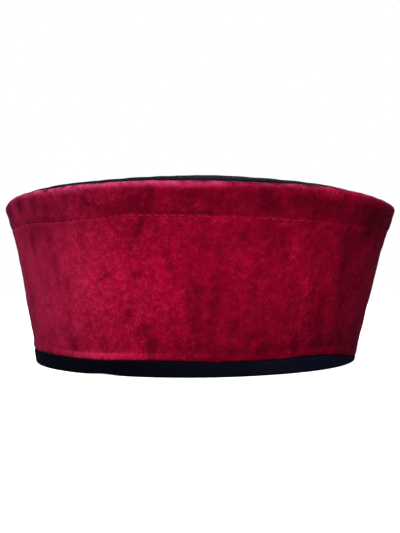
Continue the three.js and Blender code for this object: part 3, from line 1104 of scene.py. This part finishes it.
def wall_tips_and_painted_sheen(grid, zones, lay):
    """Where the pale tips of the pile are painted on as a painted sheen: on the rolled rim, over the
    binding, and at the left.
    """
    uneven = 1 + RIM_FROST_FUZZ * zones["fuzz"]
    rim = from_table(grid.degrees, RIM_FROST_ROUND) * zones["rim tips"] * uneven
    lit = np.clip(1 + SIDE_FROST_LIT * lay, 0, None)
    side = from_table(grid.degrees, SIDE_FROST_ROUND) * from_table(grid.height / MM, SIDE_FROST_UP) * lit
    return np.clip(rim + FOOT_LINE_FROST * zones["foot lines"] + side, 0, 1)


def wall_crush(grid, zones, mark_lay):
    """How strongly the pile is crushed: less on the hem and in dark marks, more in bright ones."""
    marked = 1 + MARK_CRUSH * np.clip(mark_lay, *MARK_CRUSH_LIMITS)
    return from_table(grid.degrees, CRUSH_ROUND) * marked * (1 - HEM_CALM * zones["hem"])


def velvet_wall(shape, colours):
    """Flared wall of velvet on a stiff woven backing, its top edge turned over into a rolled rim."""
    grid = ClothGrid(wall_outline(shape), WALL_COLUMNS)
    mark_depth, mark_lay = marks_at(grid)
    points = shape.placed(*grid.moved_out(wall_relief(shape, grid, mark_depth)), grid.turn)
    piece = closed_cloth("velvet_wall", points, grid)
    zones = wall_zones(shape, grid)
    lay = wall_lay_and_painted_light(grid, zones, mark_lay)
    crush = wall_crush(grid, zones, mark_lay)
    store(piece, grid, {LAY_AND_PAINTED_LIGHT: lay, CRUSH: crush, TIPS_AND_PAINTED_SHEEN: wall_tips_and_painted_sheen(grid, zones, lay)})
    finish_piece(piece, "side_wall", "red_velvet", velvet_material(colours), backing_material(colours))
    material_slots = np.zeros(grid.size, dtype=np.int32)
    material_slots[VELVET_ROWS:] = 1
    piece.data.polygons.foreach_set("material_index", material_slots.ravel())


# The domed top

TOP_COLUMNS = 360
DOME_RINGS = 56
SKIRT_ROWS = 6
TOP_POLE = 0.4 * MM  # radius of the smallest ring, which one face closes


class Dip(NamedTuple):
    """A shallow hollow in the dome, in millimetres to the right of its middle and ahead of it."""

    across: float
    ahead: float
    width: float
    length: float
    depth: float


DOME_DIPS = (
    Dip(-74, 56, 18, 22, 0.2),
    Dip(-50, 76, 18, 20, 0.6),
    Dip(-20, 82, 20, 22, 0.6),
    Dip(25, 85, 20, 22, 0.35),
    Dip(54, 70, 20, 20, 0.6),
    Dip(76, 60, 12, 18, 0.7),
)
PUCKERS = 52  # small gathers where the top is sewn in
PUCKER_HEIGHT = 0.12
PUCKER_LAY = 0.25
PUCKER_WANDER = Grain(1.25, 40, 12, 21)
PUCKER_STARTS = (0.5, 3)  # millimetres from the edge between which they begin
PUCKER_ENDS = (8, 30)  # and between which they fade
TOP_SLACK = Grain(0.16, 16, 16, 22)
SLACK_STARTS = (1, 12)
TOP_LAY = Grain(0.3, 7, 7, 23)
RIM_FOLLOW_POWER = 8  # how soon the dome stops following the rim's unevenness on the way to its middle


def dome_outline(shape, thinner):
    """Outline of a dome from its edge to its middle, inside the outer face by thinner."""
    edge = shape.dome_edge - thinner
    rise = shape.sizes.dome_rise - thinner
    share = np.sin(np.linspace(math.pi / 2, math.asin(TOP_POLE / edge), DOME_RINGS))
    height = shape.dome_edge_height + rise * (1 - share**DOME_POWER) ** DOME_ROUNDNESS
    return side_by_side(edge * share, height)


def top_outline(shape):
    """Outline of the domed top, from the middle of its underside round the skirt and over the dome."""
    sizes = shape.sizes
    skirt_foot = sizes.stitch_height + sizes.top_cloth / 2
    skirt_height = np.linspace(skirt_foot, shape.dome_edge_height, SKIRT_ROWS, endpoint=False)
    skirt = side_by_side(shape.hem_inside(skirt_height) - sizes.seat_gap, skirt_height)
    underside = np.concatenate([skirt - (sizes.top_cloth, 0), dome_outline(shape, sizes.top_cloth)])
    return np.concatenate([underside[::-1], skirt, dome_outline(shape, 0)])


def black_top(shape, colours):
    """Domed black cloth top, sewn in behind the rim."""
    grid = ClothGrid(top_outline(shape), TOP_COLUMNS)
    across = grid.radius * np.sin(grid.turn)
    ahead = grid.radius * np.cos(grid.turn)
    from_edge = (shape.dome_edge - grid.radius) / MM
    near_edge = smooth_step(from_edge, *PUCKER_STARTS) * (1 - smooth_step(from_edge, *PUCKER_ENDS))
    puckers = np.cos(PUCKERS * grid.turn + grid.uneven(PUCKER_WANDER)) * near_edge
    slack = uneven_disc(across, ahead, TOP_SLACK) * smooth_step(from_edge, *SLACK_STARTS)
    relief = PUCKER_HEIGHT * puckers + slack
    for dip in DOME_DIPS:
        level = dip.depth * bump(across, dip.across * MM, dip.width * MM)
        relief = relief - level * bump(ahead, dip.ahead * MM, dip.length * MM)
    outside = np.arange(grid.rows)[:, None] >= grid.rows - DOME_RINGS
    rim_share = (grid.radius / shape.dome_edge) ** RIM_FOLLOW_POWER
    points = shape.placed(*grid.moved_out(relief * MM * outside), grid.turn, rim_share)
    last_row = (grid.rows - 1) * TOP_COLUMNS
    faces = grid_faces(*grid.size, closed=False).tolist()
    faces.append(list(reversed(range(TOP_COLUMNS))))
    faces.append(list(range(last_row, last_row + TOP_COLUMNS)))
    piece = new_piece("black_top", points, faces)
    along = grid.length[:-1, None]
    from_middle = np.minimum(along, along[-1] - along)
    add_point_map(piece, side_by_side(from_middle * np.sin(grid.turn), from_middle * np.cos(grid.turn)))
    lay = uneven_disc(across, ahead, TOP_LAY) + PUCKER_LAY * puckers
    store(piece, grid, {LAY_AND_PAINTED_LIGHT: lay, CRUSH: 1, TIPS_AND_PAINTED_SHEEN: 0})
    finish_piece(piece, "domed_top", "black_cloth", top_material(colours))


# The binding

BINDING_COLUMNS = 720
BINDING_FACE_ROWS = 10
FOLD_STEPS = 6
BINDING_SWELL = 0.4 * MM
BINDING_RIPPLES = (Grain(0.05, 4, 7, 31), Grain(0.05, 30, 4, 32))
BINDING_EDGE_WAVER = Grain(0.1, 60, 5, 33)
# How far the black is lightened, round the cap: darkest at the front left, lightest at the right
LIGHTENING_ROUND = (
    (-180, 0.2), (-60, 0), (-20, 0), (-8, 0.12), (4, 0.22), (15, 0.3), (22, 0.65), (34, 0.68), (48, 1),
    (70, 1), (180, 0.2),
)


def binding_outline(shape):
    """Closed outline of the folded binding: outer layer, upper edge, slot for the wall, inner layer."""
    sizes = shape.sizes
    fold = sizes.binding_fold
    lip = sizes.binding_cloth / 2
    lip_height = sizes.binding_height - lip
    foot = arc(shape.binding_outside - fold, fold, fold, -math.pi / 2, 0, FOLD_STEPS)
    face_height = np.linspace(fold, lip_height, BINDING_FACE_ROWS)[1:]
    swell = BINDING_SWELL * smooth_step(face_height, fold, sizes.binding_height - fold)
    face = side_by_side(shape.binding_outside + swell, face_height)
    lip_middle = shape.binding_outside + BINDING_SWELL - lip
    edge = arc(lip_middle, lip_height, lip, 0, math.pi, FOLD_STEPS)[1:]
    slot_foot = np.array([[shape.binding_outside - sizes.binding_cloth, sizes.binding_cloth]])
    outside = np.concatenate([foot, face, edge, slot_foot])
    inside = outside[::-1].copy()
    inside[:, 0] = shape.binding_inside + shape.binding_outside - inside[:, 0]
    return np.concatenate([outside, inside])


def black_binding(shape, colours):
    """Folded black strip along the wall's lower edge."""
    sizes = shape.sizes
    grid = ClothGrid(binding_outline(shape), BINDING_COLUMNS)
    off_floor = smooth_step(grid.height, 0, sizes.binding_fold)
    radius, height = grid.moved_out(grid.uneven(*BINDING_RIPPLES) * MM * off_floor)
    waver = grid.uneven(BINDING_EDGE_WAVER) * MM
    height = height + waver * smooth_step(height, sizes.binding_fold, sizes.binding_height)
    piece = closed_cloth("black_binding", shape.placed(radius, height, grid.turn), grid)
    store(piece, grid, {LIGHTENING: from_table(grid.degrees, LIGHTENING_ROUND)})
    finish_piece(piece, "edge_binding", "black_binding", binding_material(colours))


# The topstitching

THREAD_SIDES = 12
THREAD_RINGS = 15
THREAD_END = 0.15  # thickness left at a stitch's ends
THREAD_BLUNTNESS = 6  # how suddenly a stitch thins at its ends
THREAD_SINK = 0.35 * MM  # how far its ends dip into the velvet
THREAD_SINK_POWER = 4  # how late on the way to its ends it dips
THREAD_PROUD = 0.7  # share of its half thickness that its middle stands out
SUNK_DEPTH = 0.9 * MM  # how much deeper it lies where the pile hides it
PLIES = 3
PLY_RELIEF = 0.14
PLY_TURNS = 1.6  # turns of the twist in half a stitch
STITCH_SEED = 41
LENGTH_CHANCE = (0.9, 1.08)
SLANT_CHANCE = 0.05
DEPTH_CHANCE = (0.0, 0.12 * MM)


def topstitching(shape, colours):
    """Row of thread stitches below the rim, each dipping into the velvet at both ends."""
    sizes = shape.sizes
    chance = np.random.default_rng(STITCH_SEED)
    along = np.linspace(-1, 1, THREAD_RINGS)[:, None]
    around = math.pi + math.tau * np.arange(THREAD_SIDES)[None, :] / THREAD_SIDES
    thread = sizes.thread_width / 2
    thinned = np.maximum(np.sqrt(1 - np.abs(along) ** THREAD_BLUNTNESS), THREAD_END)
    girth = thread * thinned * (1 + PLY_RELIEF * np.cos(PLIES * around + math.tau * PLY_TURNS * along))
    surface = wall_surface(shape, sizes.stitch_height)
    loop_faces = grid_faces(THREAD_RINGS, THREAD_SIDES, closed=False)[:, ::-1]
    near_end = np.arange(THREAD_SIDES)
    far_end = near_end[::-1] + (THREAD_RINGS - 1) * THREAD_SIDES
    points = []
    places = []
    faces = []
    for stitch in range(shape.stitches):
        middle = math.tau * (stitch + 0.5) / shape.stitches - math.pi
        aside = along * sizes.stitch_length * chance.uniform(*LENGTH_CHANCE) / 2
        slant = chance.normal(0, SLANT_CHANCE)
        hidden = SUNK_DEPTH * from_table(math.degrees(middle), SUNK_ROUND)
        proud = THREAD_PROUD * thread - chance.uniform(*DEPTH_CHANCE) - hidden
        sink = THREAD_SINK * along**THREAD_SINK_POWER
        radius = surface + proud - sink + girth * np.cos(around)
        height = sizes.stitch_height + slant * aside + girth * np.sin(around)
        first = stitch * THREAD_RINGS * THREAD_SIDES
        points.append(shape.placed(radius, height, middle + aside / surface))
        places.append(side_by_side(thread * around, aside))
        faces.extend((loop_faces + first).tolist())
        faces.append((near_end + first).tolist())
        faces.append((far_end + first).tolist())
    piece = new_piece("topstitching", np.concatenate(points), faces)
    add_point_map(piece, np.concatenate(places))
    finish_piece(piece, None, "red_velvet", thread_material(colours))


# The stage

class Light(NamedTuple):
    """A soft square light: degrees from the front towards +X and up, then metres and watts."""

    name: str
    turn: float
    elevation: float
    distance: float
    size: float
    power: float


LIGHTS = (
    Light("key", -19, 28, 0.85, 0.5, 9.6),
    Light("fill", 42, 12, 1.3, 0.9, 3.0),
    Light("overhead", -120, 78, 0.9, 0.6, 3.0),
    Light("back", 165, 25, 1.2, 0.9, 7.0),
)
SKY_LIGHT = 0.6  # strength of the soft sun straight above, which lights the floor evenly
SKY_WIDTH = math.radians(60)
LIGHT_AIM = 45 * MM  # height that the lights point at
ROOM_LIGHT = 0.10
BACKDROP_LIGHT = 1.0
FLOOR_DROP = 0.05 * MM
FLOOR_FINISH = {
    "Base Color": (0.9, 0.9, 0.9, 1.0),
    "Roughness": 0.9,
    "Specular IOR Level": 0.0,
    "Emission Color": WHITE,
    "Emission Strength": 0.82,
}
SENSOR_WIDTH = 36


def add_lights():
    """Soft studio lights aimed at the cap."""
    for light in LIGHTS:
        lamp = bpy.data.lights.new(light.name, "AREA")
        lamp.shape = "SQUARE"
        lamp.size = light.size
        lamp.energy = light.power
        aimed = Matrix.Translation((0, 0, LIGHT_AIM)) @ Matrix.Rotation(math.radians(light.turn), 4, "Z")
        raised = Matrix.Rotation(math.radians(90 - light.elevation), 4, "X")
        placed = Matrix.Translation((0, 0, light.distance))
        add_object(light.name, lamp).matrix_world = aimed @ raised @ placed


def add_sky():
    """Even, soft light from straight above."""
    lamp = bpy.data.lights.new("sky", "SUN")
    lamp.energy = SKY_LIGHT
    lamp.angle = SKY_WIDTH
    add_object("sky", lamp)


def add_floor(width):
    """Plain pale floor, which throws no light back at the cap."""
    half = width / 2
    mesh = bpy.data.meshes.new("floor")
    corners = [(-half, -half, 0), (half, -half, 0), (half, half, 0), (-half, half, 0)]
    mesh.from_pydata(corners, [], [(0, 1, 2, 3)])
    floor = add_object("floor", mesh)
    floor.location.z = -FLOOR_DROP
    floor.visible_diffuse = False
    floor.visible_glossy = False
    material = bpy.data.materials.new("pale_floor")
    material.use_nodes = True
    tree = material.node_tree
    feed(tree, tree.nodes["Principled BSDF"], FLOOR_FINISH)
    mesh.materials.append(material)


def add_world():
    """Even, dim light from all round, behind a white backdrop."""
    world = bpy.data.worlds.new("studio")
    world.use_nodes = True
    tree = world.node_tree
    seen = add_node(tree, "ShaderNodeLightPath").outputs["Is Camera Ray"]
    strength = calculate(tree, "MULTIPLY_ADD", seen, BACKDROP_LIGHT - ROOM_LIGHT, ROOM_LIGHT)
    feed(tree, tree.nodes["Background"], {"Color": WHITE, "Strength": strength})
    bpy.context.scene.world = world


def add_camera(stage):
    """Camera low in front of the cap, tilted slightly up."""
    lens = bpy.data.cameras.new("camera")
    lens.lens = stage.camera_lens
    lens.sensor_width = SENSOR_WIDTH
    camera = add_object("camera", lens)
    upright = Matrix.Rotation(math.pi / 2 + stage.camera_pitch, 4, "X")
    rolled = Matrix.Rotation(stage.camera_roll, 4, "Z")
    place = Matrix.Translation((stage.camera_side, -stage.camera_distance, stage.camera_height))
    camera.matrix_world = place @ upright @ rolled
    bpy.context.scene.camera = camera


# Operators and panel

def build(make_piece, scene):
    """Makes a piece from the sizes and colours that are set in the scene."""
    make_piece(CapShape(scene.velvet_cap_sizes), scene.velvet_cap_colours)
    return {"FINISHED"}


class VELVETCAP_OT_wall(bpy.types.Operator):
    """Build the velvet wall with its rolled rim"""

    bl_idname = "velvet_cap.wall"
    bl_label = "Velvet wall"

    def execute(self, context):
        return build(velvet_wall, context.scene)


class VELVETCAP_OT_top(bpy.types.Operator):
    """Build the domed black top"""

    bl_idname = "velvet_cap.top"
    bl_label = "Domed top"

    def execute(self, context):
        return build(black_top, context.scene)


class VELVETCAP_OT_binding(bpy.types.Operator):
    """Build the folded black binding"""

    bl_idname = "velvet_cap.binding"
    bl_label = "Edge binding"

    def execute(self, context):
        return build(black_binding, context.scene)


class VELVETCAP_OT_topstitching(bpy.types.Operator):
    """Sew the row of stitches below the rim"""

    bl_idname = "velvet_cap.topstitching"
    bl_label = "Topstitching"

    def execute(self, context):
        return build(topstitching, context.scene)


class VELVETCAP_OT_stage(bpy.types.Operator):
    """Set up the floor, the lights and the camera"""

    bl_idname = "velvet_cap.stage"
    bl_label = "Stage"

    def execute(self, context):
        stage = context.scene.velvet_cap_stage
        context.scene.view_settings.view_transform = "Standard"
        add_camera(stage)
        add_floor(stage.floor_width)
        add_world()
        add_lights()
        add_sky()
        return {"FINISHED"}


class VELVETCAP_PT_panel(bpy.types.Panel):
    """Steps of building the cap"""

    bl_idname = "VELVETCAP_PT_panel"
    bl_label = "Velvet cap"
    bl_space_type = "VIEW_3D"
    bl_region_type = "UI"
    bl_category = "Velvet cap"

    def draw(self, context):
        for operator in OPERATORS:
            self.layout.operator(operator.bl_idname)


PROPERTIES = (
    ("velvet_cap_sizes", VelvetCapSizes),
    ("velvet_cap_colours", VelvetCapColours),
    ("velvet_cap_stage", VelvetCapStage),
)
OPERATORS = (
    VELVETCAP_OT_stage,
    VELVETCAP_OT_wall,
    VELVETCAP_OT_top,
    VELVETCAP_OT_binding,
    VELVETCAP_OT_topstitching,
)


def register():
    """Registers the properties, the operators and the panel."""
    for name, group in PROPERTIES:
        bpy.utils.register_class(group)
        setattr(bpy.types.Scene, name, bpy.props.PointerProperty(type=group))
    for made in (*OPERATORS, VELVETCAP_PT_panel):
        bpy.utils.register_class(made)


def unregister():
    """Removes what register added."""
    for made in (VELVETCAP_PT_panel, *reversed(OPERATORS)):
        bpy.utils.unregister_class(made)
    for name, group in reversed(PROPERTIES):
        delattr(bpy.types.Scene, name)
        bpy.utils.unregister_class(group)


def main():
    """Builds the cap on its stage."""
    register()
    bpy.ops.velvet_cap.stage()
    bpy.ops.velvet_cap.wall()
    bpy.ops.velvet_cap.top()
    bpy.ops.velvet_cap.binding()
    bpy.ops.velvet_cap.topstitching()


if __name__ == "__main__":
    main()
